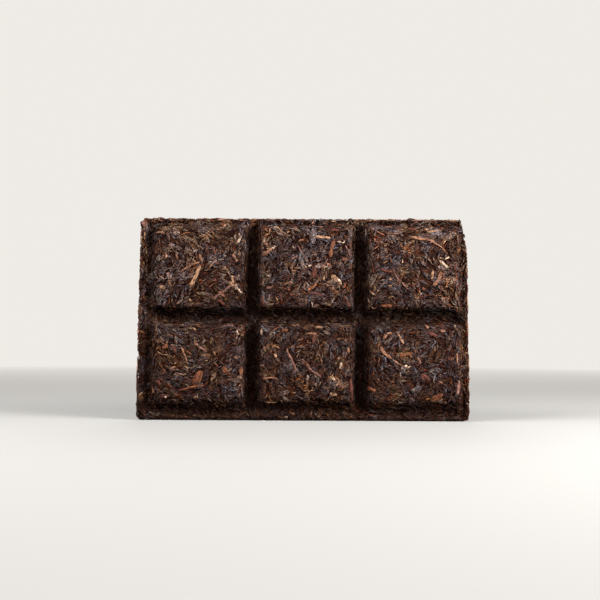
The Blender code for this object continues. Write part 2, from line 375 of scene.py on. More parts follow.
def leaf_finish(name, sizes, dust):
    """Pressed leaf: toned piece by piece, with dark fibres, paler rims, tinted patches, grit and dust."""
    finish = Finish(name)
    tone = finish.attribute("tone", "Fac")
    rim = finish.attribute("rim", "Fac")
    grain = finish.attribute("grain", "Vector")
    place = finish.node("TexCoord", output="Object")
    fibre = finish.noise(finish.scaled(grain, (2.6, 0.45, 1.0)), 1.0, 3.0, 0.6)
    mottle = finish.noise(finish.scaled(grain, (1.2, 0.9, 1.0)), 1.0, 2.0)
    patch = finish.noise(place, PATCH_SCALE)
    # Its own tone, uneven in patches and mottled along the piece.
    stops = [(0.0, sizes.dark), (0.45, sizes.middle), (0.8, sizes.warm), (1.0, sizes.pale)]
    shade = (tone + (patch - 0.5) * 0.5 + (mottle - 0.5) * 0.6).clamped()
    colour = finish.node("ValToRGB", {"stops": stops}, {"Fac": shade})
    # Dark fibres, near black or red-brown by place: the leaf's own fibres, and partly painted shade in the
    # creases. A paler rim: partly the drier leaf edge, partly a painted highlight where the edges catch
    # light.
    hue = finish.noise(place, HUE_SCALE)
    fibre_and_crease_shade = finish.mix(hue.over(0.44, 0.60), (0.007, 0.004, 0.003), (0.034, 0.008, 0.003))
    colour = finish.mix(fibre.over(0.44, 0.60) * 0.65, colour, fibre_and_crease_shade)
    # Paler rim: partly a painted highlight along the edges of each piece.
    colour = finish.mix(rim.over(0.7, 1.0) * mottle.over(0.4, 0.7) * 0.45, colour, sizes.pale)
    # Reddish, yellowish and bluish patches.
    colour = finish.mix(hue.over(0.50, 0.62) * 0.7, colour, RUDDY, "MULTIPLY")
    region = finish.noise(place, REGION_SCALE)
    colour = finish.mix(region.over(0.50, 0.62), colour, OCHRE, "MULTIPLY")
    colour = finish.mix((1.0 - region).over(0.48, 0.60), colour, SLATE, "MULTIPLY")
    # Grit that darkens and lightens, and specks of golden dust.
    grit = finish.noise(place, GRIT_SCALE, 2.0, 0.6).over(0.42, 0.60)
    colour = finish.mix(1.0, colour, finish.mix(grit, (0.52, 0.52, 0.52), (1.50, 1.50, 1.50)), "MULTIPLY")
    speck = finish.noise(place, SPECK_SCALE, 1.0).over(0.66, 0.74)
    colour = finish.mix(speck * dust, colour, (0.33, 0.20, 0.13))
    # Painted shade in the scoring and near the foot.
    colour = finish.with_painted_shade(colour, PAINTED_SHADE_LEAF)
    bump = finish.node("Bump", {}, {"Strength": 1.0, "Distance": 0.18 * MM, "Height": grit * 0.7 - fibre})
    rough = sizes.roughness + (mottle - 0.5) * 0.5 + (fibre - 0.5) * 0.3
    return finish.set(Base_Color=colour, Roughness=rough.clamped(), Normal=bump, Specular_IOR_Level=0.015)


def core_finish(sizes):
    """The dark packed leaf in the gaps: small scraps, each with creases that run its own way."""
    finish = Finish("packed_core")
    place = finish.node("TexCoord", output="Object")
    # Each scrap has a heading of its own, and creases that run across it.
    scrap = finish.node("TexVoronoi", {}, {"Vector": place, "Scale": SCRAP_SCALE}, output="Color")
    heading = finish.node("VectorMath", {"operation": "SUBTRACT"}, {0: scrap, 1: (0.5, 0.5, 0.5)})
    heading = finish.node("VectorMath", {"operation": "NORMALIZE"}, {0: heading})
    across = finish.node("VectorMath", {"operation": "DOT_PRODUCT"}, {0: place, 1: heading}, output="Value")
    where = finish.node("CombineXYZ", {}, {"X": across * CREASE_SCALE})
    apart = finish.scaled(scrap, (0.0, 40.0, 40.0))
    where = finish.node("VectorMath", {"operation": "ADD"}, {0: where, 1: apart})
    crease = finish.noise(where, 1.0, 2.0)
    tone = finish.node("SeparateXYZ", {}, {"Vector": scrap})
    stops = [(0.0, sizes.colour), (0.6, (0.028, 0.010, 0.006)), (1.0, (0.070, 0.022, 0.010))]
    colour = finish.node("ValToRGB", {"stops": stops}, {"Fac": (tone * 0.8 + (crease - 0.5) * 0.8).clamped()})
    # Painted shade in the scoring and near the foot.
    colour = finish.with_painted_shade(colour, PAINTED_SHADE_LEAF)
    bump = finish.node("Bump", {}, {"Strength": 0.8, "Distance": 0.15 * MM, "Height": crease})
    return finish.set(Base_Color=colour, Roughness=0.6, Normal=bump, Specular_IOR_Level=0.0)


# ---------------------------------------------------------------- modelling


def deselect_all():
    for thing in bpy.context.selected_objects:
        thing.select_set(False)


def make_active(thing):
    deselect_all()
    thing.select_set(True)
    bpy.context.view_layer.objects.active = thing


def merged_copy(node, name):
    """A copy of a CAD node's mesh as an object of its own, with its loose triangles joined."""
    copy = bpy.data.objects.new(name, node.data.copy())
    bpy.context.scene.collection.objects.link(copy)
    make_active(copy)
    bpy.ops.object.mode_set(mode="EDIT")
    bpy.ops.mesh.select_all(action="SELECT")
    bpy.ops.mesh.remove_doubles(threshold=0.001 * MM)
    bpy.ops.mesh.customdata_custom_splitnormals_clear()
    bpy.ops.object.mode_set(mode="OBJECT")
    copy.data.materials.clear()
    return copy


def add_modifier(thing, kind, **settings):
    """Adds a modifier with these settings and applies it."""
    modifier = thing.modifiers.new(kind.lower(), kind)
    for name, value in settings.items():
        setattr(modifier, name, value)
    make_active(thing)
    bpy.ops.object.modifier_apply(modifier=modifier.name)


def remeshed_brick(name, voxel):
    """The whole brick as one even skin of small quads."""
    brick = merged_copy(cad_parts[NODE], name)
    add_modifier(brick, "REMESH", mode="VOXEL", voxel_size=voxel, adaptivity=0.0)
    add_modifier(brick, "SMOOTH", factor=0.5, iterations=2)
    return brick


class Bed:
    """The surface that leaf is pressed into."""

    def __init__(self, thing):
        mesh = thing.data
        self.tree = BVHTree.FromPolygons(
            [tuple(point.co) for point in mesh.vertices], [tuple(face.vertices) for face in mesh.polygons]
        )
        self.centres = np.array([face.center for face in mesh.polygons])
        self.areas = np.array([face.area for face in mesh.polygons])
        normals = np.array([face.normal for face in mesh.polygons])
        # More leaf goes on the scored face, and less on the base and the back, than on the other sides.
        sides = [normals[:, 1] < -0.3, normals[:, 2] < -0.8, normals[:, 1] > 0.8]
        self.shares = np.select(sides, [1.4, 0.5, 0.75], 1.0)
        self.hull = hull_tree(thing)

    def nearest(self, places):
        """The nearest place on the bed to each place, and the direction out of it."""
        found = [self.tree.find_nearest(place)[:2] for place in places.tolist()]
        return np.array([spot for spot, _ in found]), np.array([out for _, out in found])

    def scatter(self, count, rng, gathered):
        """Random places: more of them on the scored face, and gathered into patches if wanted."""
        weights = self.areas * self.shares
        if gathered > 0.0:
            weights = weights * np.exp(gathered * clouds(self.centres, 5.0 * MM, rng.uniform(0.0, 90.0)))
        chosen = rng.choice(len(weights), count, p=weights / weights.sum())
        jitter = rng.uniform(-0.5, 0.5, (count, 3)) * np.sqrt(self.areas[chosen])[:, None]
        return self.nearest(self.centres[chosen] + jitter)

    def easiest(self, places, outs, headings, lengths):
        """Of several headings for each piece, the one that bends it least."""
        costs = []
        for heading in headings:
            reach = heading * (lengths * 0.4)[:, None]
            _, before = self.nearest(places - reach)
            _, after = self.nearest(places + reach)
            costs.append(3.0 - (before * after).sum(1) - (before * outs).sum(1) - (after * outs).sum(1))
        return headings[np.argmin(costs, 0), np.arange(len(places))]

    def shelter(self, places):
        """How sheltered each place is: its depth in the scoring in millimetres, and more by the foot."""
        flat = places.reshape(-1, 3).tolist()
        depths = [self.hull.find_nearest(place)[3] for place in flat]
        by_foot = (1.0 - places[..., 2] / FOOT_REACH).clip(0.0, 1.0)
        return np.array(depths).reshape(places.shape[:-1]) / MM + FOOT_PAINTED_SHADE * by_foot

    def faced(self, x, z):
        """The place on the scored face at x and at the height z, or past its outline the nearest place."""
        start = Vector((x, LOW.y - 10 * MM, z))
        place, out = self.tree.ray_cast(start, Vector((0.0, 1.0, 0.0)))[:2]
        if place is None:
            place, out = self.tree.find_nearest(Vector((x, FRONT_EDGE, z)))[:2]
        return np.array(place), np.array(out)


def clouds(places, size, offset):
    """Smooth cloudy noise from about -1 to 1, with clouds of this size."""
    shift = Vector((offset,) * 3)
    return np.array([1.6 * noise.noise(Vector(place) / size + shift) for place in places.tolist()])


def hull_tree(thing):
    """A search tree of the tight sheet stretched over a thing."""
    sheet = bmesh.new()
    sheet.from_mesh(thing.data)
    hull = bmesh.ops.convex_hull(sheet, input=sheet.verts, use_existing_faces=False)
    bmesh.ops.delete(sheet, geom=hull["geom_interior"], context="VERTS")
    tree = BVHTree.FromBMesh(sheet)
    sheet.free()
    return tree


@functools.lru_cache(maxsize=None)
def leaf_bed():
    """The bed, from a smooth skin over the CAD brick that is used only for this."""
    skin = remeshed_brick("leaf_bed", bpy.context.scene.tea_core.bed_voxel)
    bed = Bed(skin)
    bpy.data.objects.remove(skin)
    return bed


class Template:
    """A piece of leaf of unit size along X, read from a modelled object, which is then removed."""

    def __init__(self, thing, rigid=False):
        mesh = thing.data
        places = np.array([point.co for point in mesh.vertices])
        self.across = places[:, 1]
        self.up = places[:, 2]
        along = places[:, 0] + 0.5
        self.along = along
        self.stations = np.array([0.5]) if rigid else np.unique(along.round(4))
        self.station = np.abs(along[:, None] - self.stations).argmin(1)
        self.height = np.array([self.up[self.station == at].max() for at in range(len(self.stations))])
        self.corners = np.array([loop.vertex_index for loop in mesh.loops])
        self.starts = np.array([face.loop_start for face in mesh.polygons])
        self.map = self.unwrapped(mesh)
        bpy.data.objects.remove(thing)

    def unwrapped(self, mesh):
        """Where each corner lies on a flat map: its turn round the piece, and its place along it."""
        turn = np.arctan2(self.across, self.up) / (2 * math.pi) + 0.5
        flat = np.zeros((len(self.corners), 2))
        for face in mesh.polygons:
            loops = list(face.loop_indices)
            points = self.corners[loops]
            round_it = turn[points]
            on_axis = np.hypot(self.across[points], self.up[points]) < 1e-4
            if on_axis.all():
                continue
            if np.ptp(round_it[~on_axis]) > 0.5:
                round_it = np.where(round_it < 0.5, round_it + 1.0, round_it)
            round_it[on_axis] = round_it[~on_axis].mean()
            flat[loops, 0] = round_it
            flat[loops, 1] = self.along[points]
        flat[:, 0] = (flat[:, 0] - flat[:, 0].min()) / max(np.ptp(flat[:, 0]), 1e-6)
        return flat


def in_edit_mode(thing):
    make_active(thing)
    bpy.ops.object.mode_set(mode="EDIT")
    bpy.ops.mesh.select_mode(type="VERT")


def pick_points(thing, wanted):
    """Selects just the points whose place passes the test."""
    bpy.ops.mesh.select_all(action="DESELECT")
    form = bmesh.from_edit_mesh(thing.data)
    for point in form.verts:
        point.select_set(wanted(point.co))
    form.select_flush(True)
    bmesh.update_edit_mesh(thing.data)


def model_strand(name, profile, stations, tapers):
    """A closed strand along X: a tube on this (across, up) profile that narrows to a point at both ends."""
    sides = len(profile)
    deselect_all()
    bpy.ops.mesh.primitive_cylinder_add(
        vertices=sides, radius=0.5, depth=1.0, end_fill_type="NGON", rotation=(0.0, math.pi / 2, 0.0)
    )
    strand = bpy.context.object
    strand.name = name
    bpy.ops.object.transform_apply(location=True, rotation=True, scale=True)
    in_edit_mode(strand)
    bpy.ops.mesh.select_all(action="DESELECT")
    form = bmesh.from_edit_mesh(strand.data)
    for edge in form.edges:
        edge.select_set(abs(edge.verts[0].co.x - edge.verts[1].co.x) > 0.5)
    bmesh.update_edit_mesh(strand.data)
    bpy.ops.mesh.subdivide(number_cuts=len(stations) - 2)
    for end in (-0.5, 0.5):
        pick_points(strand, lambda place: abs(place.x - end) < 1e-3)
        bpy.ops.mesh.merge(type="CENTER")
    first_angle = math.atan2(strand.data.vertices[0].co.y, strand.data.vertices[0].co.z)
    bpy.ops.object.mode_set(mode="OBJECT")
    for point in strand.data.vertices:
        if abs(point.co.x) > 0.5 - 1e-3:
            point.co.x = math.copysign(0.5, point.co.x)
            continue
        ring = round((point.co.x + 0.5) * (len(stations) - 1))
        turn = math.atan2(point.co.y, point.co.z)
        column = round((turn - first_angle) / (2 * math.pi) * sides) % sides
        across, up = profile[column]
        point.co = (stations[ring] - 0.5, across * tapers[ring], up * tapers[ring])
    return strand


def piece_from(name, template, points, tones, grain, shelter):
    """One mesh of many copies of a template, each with its own points."""
    count, size = points.shape[:2]
    mesh = bpy.data.meshes.new(name)
    mesh.vertices.add(count * size)
    mesh.vertices.foreach_set("co", points.astype(np.float32).ravel())
    corners = (template.corners[None] + size * np.arange(count)[:, None]).ravel()
    mesh.loops.add(len(corners))
    mesh.loops.foreach_set("vertex_index", corners.astype(np.int32))
    starts = (template.starts[None] + len(template.corners) * np.arange(count)[:, None]).ravel()
    mesh.polygons.add(len(starts))
    mesh.polygons.foreach_set("loop_start", starts.astype(np.int32))
    mesh.update(calc_edges=True)
    store(mesh, "tone", "FLOAT", "value", np.repeat(tones, size))
    store(mesh, "rim", "FLOAT", "value", np.tile(2 * np.abs(template.across), count))
    # The depth of painted shade at each point.
    store(mesh, "shelter", "FLOAT", "value", shelter[:, template.station])
    store(mesh, "grain", "FLOAT_VECTOR", "vector", grain.reshape(-1, 3))
    # Each copy has a square of the map to itself, with a margin round it.
    margin = 0.06
    columns = math.ceil(math.sqrt(count))
    cell = np.stack([np.arange(count) % columns, np.arange(count) // columns], 1)
    flat = (cell[:, None] + margin + (1 - 2 * margin) * template.map[None]) / columns
    layer = mesh.uv_layers.new(name="OFBake")
    layer.uv.foreach_set("vector", flat.astype(np.float32).ravel())
    thing = bpy.data.objects.new(name, mesh)
    bpy.context.scene.collection.objects.link(thing)
    mesh.shade_smooth()
    return thing


def store(mesh, name, kind, key, values):
    """Gives every point of a mesh its value of a new attribute."""
    attribute = mesh.attributes.new(name, kind, "POINT")
    attribute.data.foreach_set(key, np.ascontiguousarray(values, np.float32).ravel())


def unit(vectors):
    return vectors / np.maximum(np.linalg.norm(vectors, axis=-1, keepdims=True), 1e-12)


def along_surface(directions, normals):
    """The part of each direction that runs along the surface with this normal, at unit length."""
    return unit(directions - (directions * normals).sum(-1, keepdims=True) * normals)


# How far a spine turns at random from station to station, in radians.
WANDER = 0.10


def walk(bed, starts, outs, headings, lengths, stations, bends, rng):
    """Each piece's spine, walked over the bed from station to station, and the directions out of it."""
    spine, normals = [starts], [outs]
    place, out, heading = starts, outs, headings
    for step in np.diff(stations):
        turn = bends * step + rng.normal(0.0, WANDER, len(starts))
        sideways = np.cross(out, heading)
        heading = unit(heading * np.cos(turn)[:, None] + sideways * np.sin(turn)[:, None])
        place, new_out = bed.nearest(place + heading * (lengths * step)[:, None])
        lean = (new_out * heading).sum(1) / (1.0 + (out * new_out).sum(1)).clip(0.1)
        heading = along_surface(heading - lean[:, None] * (out + new_out), new_out)
        out = new_out
        spine.append(place)
        normals.append(out)
    return np.stack(spine, 1), np.stack(normals, 1)


def dressed(template, spine, normals, lengths, widths, thicknesses, rolls, lifts, rng, rough=0.03 * MM):
    """The points of every copy of the template, laid along its own spine, and their grain.

    Grain is the place on the piece, across and along it in millimetres, with an offset of its own
    for each piece.
    """
    if spine.shape[1] > 1:
        ahead = np.gradient(spine, axis=1)
    else:
        ahead = np.cross(normals, rng.normal(size=normals.shape))
    ahead = along_surface(ahead, normals)
    side = np.cross(normals, ahead)
    at = template.station
    across = template.across * widths[:, None]
    up = template.up * thicknesses[:, None]
    turn = rolls[:, at]
    y = across * np.cos(turn) - up * np.sin(turn)
    z = across * np.sin(turn) + up * np.cos(turn) + lifts[:, at]
    x = (template.along - template.stations[at]) * lengths[:, None]
    points = spine[:, at] + ahead[:, at] * x[..., None] + side[:, at] * y[..., None]
    points = points + normals[:, at] * z[..., None]
    points = points + rng.normal(0.0, rough, points.shape)
    points[..., 2] = points[..., 2].clip(0.0)
    offsets = rng.uniform(0.0, 500.0, len(points))
    grain = np.stack([across / MM, template.along * lengths[:, None] / MM, 0.0 * across], 2)
    grain = grain + offsets[:, None, None] * np.array([1.0, 0.7, 1.3])
    return points, grain


def add_leaf(
    name, template, sizes, roll_spread, twist, bend, depth, flow, tone_power, gathered=0.0, dust=0.25
):
    """Adds one kind of leaf over the whole brick, as one joined mesh with its finish.

    Pieces roll, twist and bend at random by these angles. The most buried lie this depth lower. A
    higher flow lines them up with their neighbours, a higher tone power makes pale ones rarer, and
    gathered draws them into patches.
    """
    rng = np.random.default_rng(sizes.seed)
    bed = leaf_bed()
    count = sizes.count
    starts, outs = bed.scatter(count, rng, gathered)
    lengths = sizes.shortest + (sizes.longest - sizes.shortest) * rng.beta(1.4, 2.4, count)
    widths = sizes.narrowest + (sizes.widest - sizes.narrowest) * rng.beta(1.6, 2.2, count)
    thicknesses = rng.uniform(sizes.thinnest, sizes.thickest, count)
    buried = rng.uniform(0.0, 1.0, count) ** 1.5
    tones = TONE_LEAST + TONE_RANGE * rng.uniform(size=count) ** tone_power
    tones = tones + CLOUD_TONE * clouds(starts, CLOUD_SIZE, CLOUD_OFFSET)
    # Buried pieces get a painted shade; the leaf also darkens towards the foot, and gets a painted shade on
    # the border.
    tones = tones - BURIED_SHADE_TONE * buried - foot_darkening_and_border_shade(starts)
    streams = stream(starts) * flow
    headings = np.stack([along_surface(rng.normal(size=(count, 3)) + streams, outs) for _ in range(3)])
    headings = bed.easiest(starts, outs, headings, lengths)
    starts, outs = bed.nearest(starts - headings * (lengths / 2)[:, None])
    headings = along_surface(headings, outs)
    bends = rng.normal(0.0, bend, count)
    spine, normals = walk(bed, starts, outs, headings, lengths, template.stations, bends, rng)
    middle = template.stations - 0.5
    rolls = rng.normal(0.0, roll_spread, count)[:, None] + rng.normal(0.0, twist, count)[:, None] * middle
    reach = np.abs(widths[:, None] * np.sin(rolls)) + np.abs(thicknesses[:, None] * np.cos(rolls))
    level = sizes.rise - depth * buried
    # The ends of a piece dip into the brick by its arch.
    arch = rng.uniform(0.05, 0.5, count) * MM
    lifts = level[:, None] - reach * template.height - arch[:, None] * (2 * middle) ** 4
    points, grain = dressed(template, spine, normals, lengths, widths, thicknesses, rolls, lifts, rng)
    leaf = piece_from(name, template, points, tones.clip(0.0, 1.0), grain, bed.shelter(spine))
    hand_in(leaf, leaf_finish(name, sizes, dust))


def foot_darkening_and_border_shade(places):
    """How much darker the leaf is at these places: towards the foot, and on the border."""
    inset = np.minimum.reduce([places[:, 0] - LOW.x, HIGH.x - places[:, 0], places[:, 2]])
    # Darker towards the foot; the darkening on the border is painted shade.
    return FOOT_TONE * (1.0 - places[:, 2] / HIGH.z) + BORDER_SHADE_TONE * (inset < BORDER_WIDTH)


def stream(places):
    """A smooth swirl of directions, which neighbouring pieces share."""
    x, y, z = (places / (5.5 * MM)).T
    swirl = np.stack(
        [
            np.sin(1.1 * z + 0.7 * y) + 0.6 * np.sin(0.53 * x - 1.3 * z + 2.0),
            np.sin(0.9 * x + 1.3 * z + 1.0),
            np.cos(1.2 * x - 0.6 * z) + 0.7 * np.sin(0.77 * x + 0.4),
        ],
        1,
    )
    return swirl


def hand_in(thing, material):
    """Gives a finished piece its material, body and slot."""
    thing.data.materials.clear()
    thing.data.materials.append(material)
    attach(thing, BODY)


# ---------------------------------------------------------------- pieces

# Each kind of piece: its section as (across, up), how far along it the sections stand, and how wide
# it is at each of them.
BLADE_PROFILE = (
    (0.0, 0.5), (0.17, 0.1), (0.33, 0.42), (0.5, -0.1), (-0.5, -0.05), (-0.36, 0.38), (-0.18, 0.0),
)
BLADE_STATIONS = (0.0, 0.07, 0.36, 0.66, 0.93, 1.0)
BLADE_TAPERS = (0.0, 0.62, 1.0, 0.92, 0.55, 0.0)
STRAND_PROFILE = ((0.0, 0.5), (0.5, 0.12), (0.26, -0.45), (-0.3, -0.4), (-0.5, 0.2))
STRAND_STATIONS = (0.0, 0.14, 0.38, 0.64, 0.88, 1.0)
STRAND_TAPERS = (0.0, 0.72, 1.0, 0.95, 0.62, 0.0)
FIBRE_PROFILE = ((0.0, 0.5), (0.5, 0.0), (0.1, -0.5), (-0.5, 0.1))
FIBRE_STATIONS = (0.0, 0.2, 0.5, 0.82, 1.0)
FIBRE_TAPERS = (0.0, 0.85, 1.0, 0.75, 0.0)
STEM_PROFILE = ((0.0, 0.5), (0.36, 0.3), (0.5, -0.15), (0.0, -0.5), (-0.5, -0.15), (-0.3, 0.42))
STEM_STATIONS = (0.0, 0.04, 0.2, 0.4, 0.6, 0.8, 0.96, 1.0)
STEM_TAPERS = (0.0, 0.5, 0.85, 1.0, 0.72, 0.95, 0.5, 0.0)
# A feature this wide or wider, in millimetres, is a flake and not a stem.
FLAKE_WIDTH = 1.5

# Stems and flakes that stand out on the scored face: colour, width, then the places (x, z) they
# run through, in millimetres.
FEATURES = (
    # upper left block
    ("tan", 1.4, (-31, 46.5), (-34, 39.5)),
    ("orange", 0.9, (-31.5, 50), (-30.5, 47.5)),
    ("orange", 0.7, (-37, 44.5), (-34, 46.5), (-31, 47.5)),
    ("straw", 0.8, (-19.5, 56.5), (-19, 55), (-20, 53.5)),
    ("orange", 1.0, (-21.5, 50), (-20, 47.5)),
    ("tan", 0.9, (-21.5, 43.5), (-21, 41)),
    ("straw", 1.1, (-20.5, 41), (-20, 39)),
    ("tan", 1.4, (-22.5, 41.5), (-21, 40)),
    ("straw", 1.0, (-19.5, 39.5), (-18.5, 38)),
    ("orange", 1.1, (-25.5, 38.5), (-23.5, 37)),
    ("rose", 0.9, (-21.5, 41), (-24, 38.5), (-27, 36.5)),
    ("orange", 0.8, (-40.5, 42), (-40, 40)),
    ("tan", 1.4, (-43.5, 40), (-41.5, 39.5)),
    ("rust", 1.0, (-25.5, 36), (-23.5, 34.5)),
    ("orange", 0.8, (-38.5, 50), (-38, 48.5)),
    ("tan", 0.8, (-41.5, 50), (-41.5, 48.5)),
    ("orange", 0.7, (-45, 56.5), (-42, 56.5)),
    ("rose", 1.6, (-49, 60.5), (-48.5, 58.5)),
    ("burnt", 0.8, (-17.5, 46.5), (-17.5, 44.5)),
    ("burnt", 0.9, (-23.5, 34), (-22, 33.5)),
    ("tan", 0.6, (-48.5, 57), (-48.5, 54.5)),
    # upper middle block
    ("orange", 1.2, (-13, 49.5), (-11, 50.5), (-9.5, 52)),
    ("straw", 0.8, (-9.5, 51.5), (-8.5, 52.5)),
    ("orange", 1.2, (-12, 53.5), (-11, 53)),
    ("tan", 0.7, (-9.5, 58), (-8.5, 58.5), (-7, 57.5)),
    ("orange", 1.0, (-3.5, 58), (-2, 57.5)),
    ("tan", 1.1, (3.5, 55.5), (8, 55)),
    ("burnt", 1.3, (9.5, 55), (8.5, 52), (8, 49)),
    ("rust", 1.1, (8, 57.5), (10.5, 57.5)),
    ("burnt", 1.3, (11.5, 48.5), (13.5, 48.5)),
    ("rose", 0.5, (12.5, 53), (13.5, 51), (14, 49.5)),
    ("straw", 0.6, (10, 54), (12, 53.5), (12.5, 54.5)),
    ("tan", 1.8, (8.5, 43.5), (10.5, 42)),
    ("straw", 1.0, (10, 43), (11.5, 41)),
    ("rust", 1.6, (0.5, 38), (6, 37.5)),
    ("orange", 1.2, (7.5, 39.5), (9.5, 39.5)),
    ("rust", 1.3, (12, 37.5), (14, 34)),
    ("rust", 0.9, (-12.5, 37), (-12, 34.5)),
    ("rust", 1.5, (3, 46.5), (3.5, 42.5)),
    ("orange", 0.6, (-6, 40.5), (-4.5, 41.5), (-3, 41.5)),
    ("rust", 0.7, (-7, 38.5), (-6.5, 35.5)),
    ("rose", 0.9, (-11, 39.5), (-9.5, 40)),
    ("orange", 0.7, (-1.5, 54), (0, 54.5)),
    ("rose", 0.4, (-2.5, 53.5), (-0.5, 50.5), (2, 47)),
    # upper right block
    ("rose", 0.7, (25, 56.5), (28.5, 56.5)),
    ("orange", 1.1, (31.5, 55.5), (35, 55), (38.5, 54.5), (40.5, 53)),
    ("orange", 0.5, (40, 53.5), (42, 52), (43.5, 50)),
    ("tan", 1.0, (37, 57), (41.5, 57.5)),
    ("rust", 0.9, (31.5, 58), (34, 58)),
    ("straw", 1.0, (19, 58.5), (19, 56)),
    ("rose", 0.5, (32.5, 59), (34.5, 60.5), (36, 59)),
    ("straw", 0.5, (44, 49.5), (42.5, 48.5)),
    ("straw", 1.2, (41, 48.5), (43.5, 46)),
    ("tan", 0.9, (39, 45.5), (38.5, 42.5)),
    ("orange", 1.4, (41.5, 45), (40.5, 42.5), (39, 40.5)),
    ("rust", 1.0, (23, 45.5), (27, 44.5)),
    ("rose", 0.4, (27, 46), (27.5, 43.5), (29.5, 41.5), (31.5, 39.5)),
    ("tan", 0.9, (25.5, 42.5), (26.5, 42.5)),
    ("tan", 0.8, (25.5, 40.5), (26.5, 40.5)),
    ("rose", 0.6, (34, 44.5), (34.5, 43)),
    ("straw", 0.8, (35, 38.5), (35.5, 38)),
    ("burnt", 1.0, (35.5, 40), (36.5, 39.5)),
    ("burnt", 1.1, (23.5, 34.5), (26.5, 34.5)),
    ("burnt", 1.1, (46, 34), (46.5, 32.5)),
    ("tan", 0.4, (20, 39), (21.5, 37.5)),
    ("rust", 0.7, (45.5, 47), (46, 45)),
    # lower left block
    ("burnt", 2.5, (-32.5, 10.5), (-30, 15)),
    ("burnt", 0.8, (-37, 9), (-33, 10), (-29, 10.5)),
    ("rose", 0.9, (-32, 23), (-30.5, 21.5), (-28.5, 20.5)),
    ("orange", 0.7, (-36.5, 22.5), (-35.5, 20), (-34.5, 17.5)),
    ("burnt", 1.4, (-42, 21.5), (-40.5, 22.5)),
    ("rust", 1.0, (-39, 22.5), (-38, 20)),
    ("orange", 0.9, (-38, 16), (-40, 15)),
    ("burnt", 1.0, (-42, 15), (-41, 15)),
    ("burnt", 1.6, (-24, 16), (-22, 13.5)),
    ("burnt", 1.5, (-18.5, 16), (-18.5, 13.5)),
    ("straw", 0.6, (-36.5, 28.5), (-36, 28.5)),
    ("tan", 0.7, (-34, 28), (-32, 27)),
    ("orange", 1.1, (-23, 29), (-21, 28.5)),
    ("straw", 0.7, (-20, 27), (-19.5, 25.5)),
    ("orange", 0.8, (-20.5, 19), (-19.5, 18.5)),
    ("straw", 0.6, (-41, 7), (-40.5, 7)),
    ("tan", 1.0, (-32.5, 7), (-31, 7)),
    ("orange", 1.2, (-45, 9.5), (-44.5, 8)),
    ("burnt", 0.8, (-24.5, 4.5), (-23, 4.5)),
    ("tan", 0.4, (-43.5, 20.5), (-42, 19.5), (-40, 19.5)),
    ("rust", 1.2, (-43.5, 12), (-42.5, 10.5)),
    # lower middle block
    ("rose", 1.0, (-5, 21), (-3, 17.5), (-2, 14.5)),
    ("rose", 1.2, (-0.5, 18.5), (2.5, 15), (5.5, 13)),
    ("straw", 1.1, (11.5, 17.5), (11, 15.5)),
    ("straw", 0.9, (8.5, 13.5), (9.5, 12)),
    ("tan", 1.1, (3.5, 28), (6, 28)),
    ("orange", 0.9, (1.5, 26), (4, 26)),
    ("orange", 0.7, (-3.5, 28.5), (-1, 28.5)),
    ("burnt", 1.1, (-6.5, 27), (-4.5, 27)),
    ("tan", 0.6, (-9.5, 21.5), (-8.5, 22.5), (-7, 21.5)),
    ("tan", 0.9, (-8.5, 20), (-8, 19)),
    ("rose", 0.9, (-13, 16.5), (-11.5, 16.5)),
    ("orange", 0.7, (-12, 12.5), (-9.5, 13), (-7.5, 12.5)),
    ("tan", 0.7, (-11.5, 5.5), (-7.5, 5.5)),
    ("orange", 1.0, (13.5, 22), (13.5, 20.5)),
    ("rose", 0.8, (12.5, 24.5), (13, 23.5)),
    ("tan", 1.4, (8, 8), (10, 8)),
    ("rust", 0.8, (2.5, 5), (5, 5)),
    ("rust", 1.2, (14, 12.5), (14.5, 9), (15, 6)),
    ("rust", 1.0, (3.5, 25.5), (3, 23)),
    ("straw", 0.6, (-12.5, 27.5), (-12.5, 25.5)),
    # lower right block
    ("orange", 1.0, (24, 24.5), (25, 26)),
    ("tan", 0.9, (25, 26), (26.5, 26.5)),
    ("tan", 0.9, (28, 27), (29, 25), (30, 23)),
    ("orange", 1.1, (23, 22.5), (24, 20.5), (26.5, 18.5)),
    ("burnt", 1.3, (28.5, 19.5), (32.5, 20.5)),
    ("orange", 0.5, (26.5, 18.5), (28, 17.5), (30, 16.5)),
    ("straw", 0.9, (30, 16.5), (31, 16.5)),
    ("rose", 1.0, (34, 19.5), (35, 17)),
    ("orange", 1.0, (40.5, 12), (41.5, 11.5)),
    ("burnt", 1.9, (38, 6), (41.5, 8.5)),
    ("rust", 1.9, (35, 14), (37.5, 12)),
    ("burnt", 1.4, (19, 10), (21.5, 9)),
    ("orange", 1.0, (36.5, 29), (37.5, 28)),
    ("rust", 0.9, (40.5, 29.5), (42.5, 28.5)),
    ("straw", 0.5, (45.5, 29), (45.5, 28)),
    ("orange", 0.9, (41, 27), (42.5, 27)),
    ("orange", 0.8, (46, 20.5), (46, 17.5)),
    ("rose", 1.1, (46.5, 12.5), (46, 8)),
    ("rust", 1.3, (37.5, 26.5), (40, 25.5)),
    # border
    ("orange", 0.9, (-33, 1.5), (-32, 1.5)),
    ("rust", 1.0, (-36.5, 1), (-34.5, 1)),
    ("straw", 1.0, (-5.5, 1), (-4.5, 1)),
    ("orange", 0.9, (-4, 2.5), (-2.5, 2)),
    ("rose", 0.6, (2.5, 3), (2.5, 1)),
    ("rust", 0.9, (19.5, 2), (21.5, 1.5)),
    ("rust", 1.0, (-50.5, 49.5), (-50.5, 48)),
    ("rust", 1.1, (41, 61.5), (42.5, 61.5)),
    ("rust", 0.9, (28, 61.5), (29.5, 61.5)),
    ("rust", 0.8, (50.5, 26.5), (50.5, 25)),
)
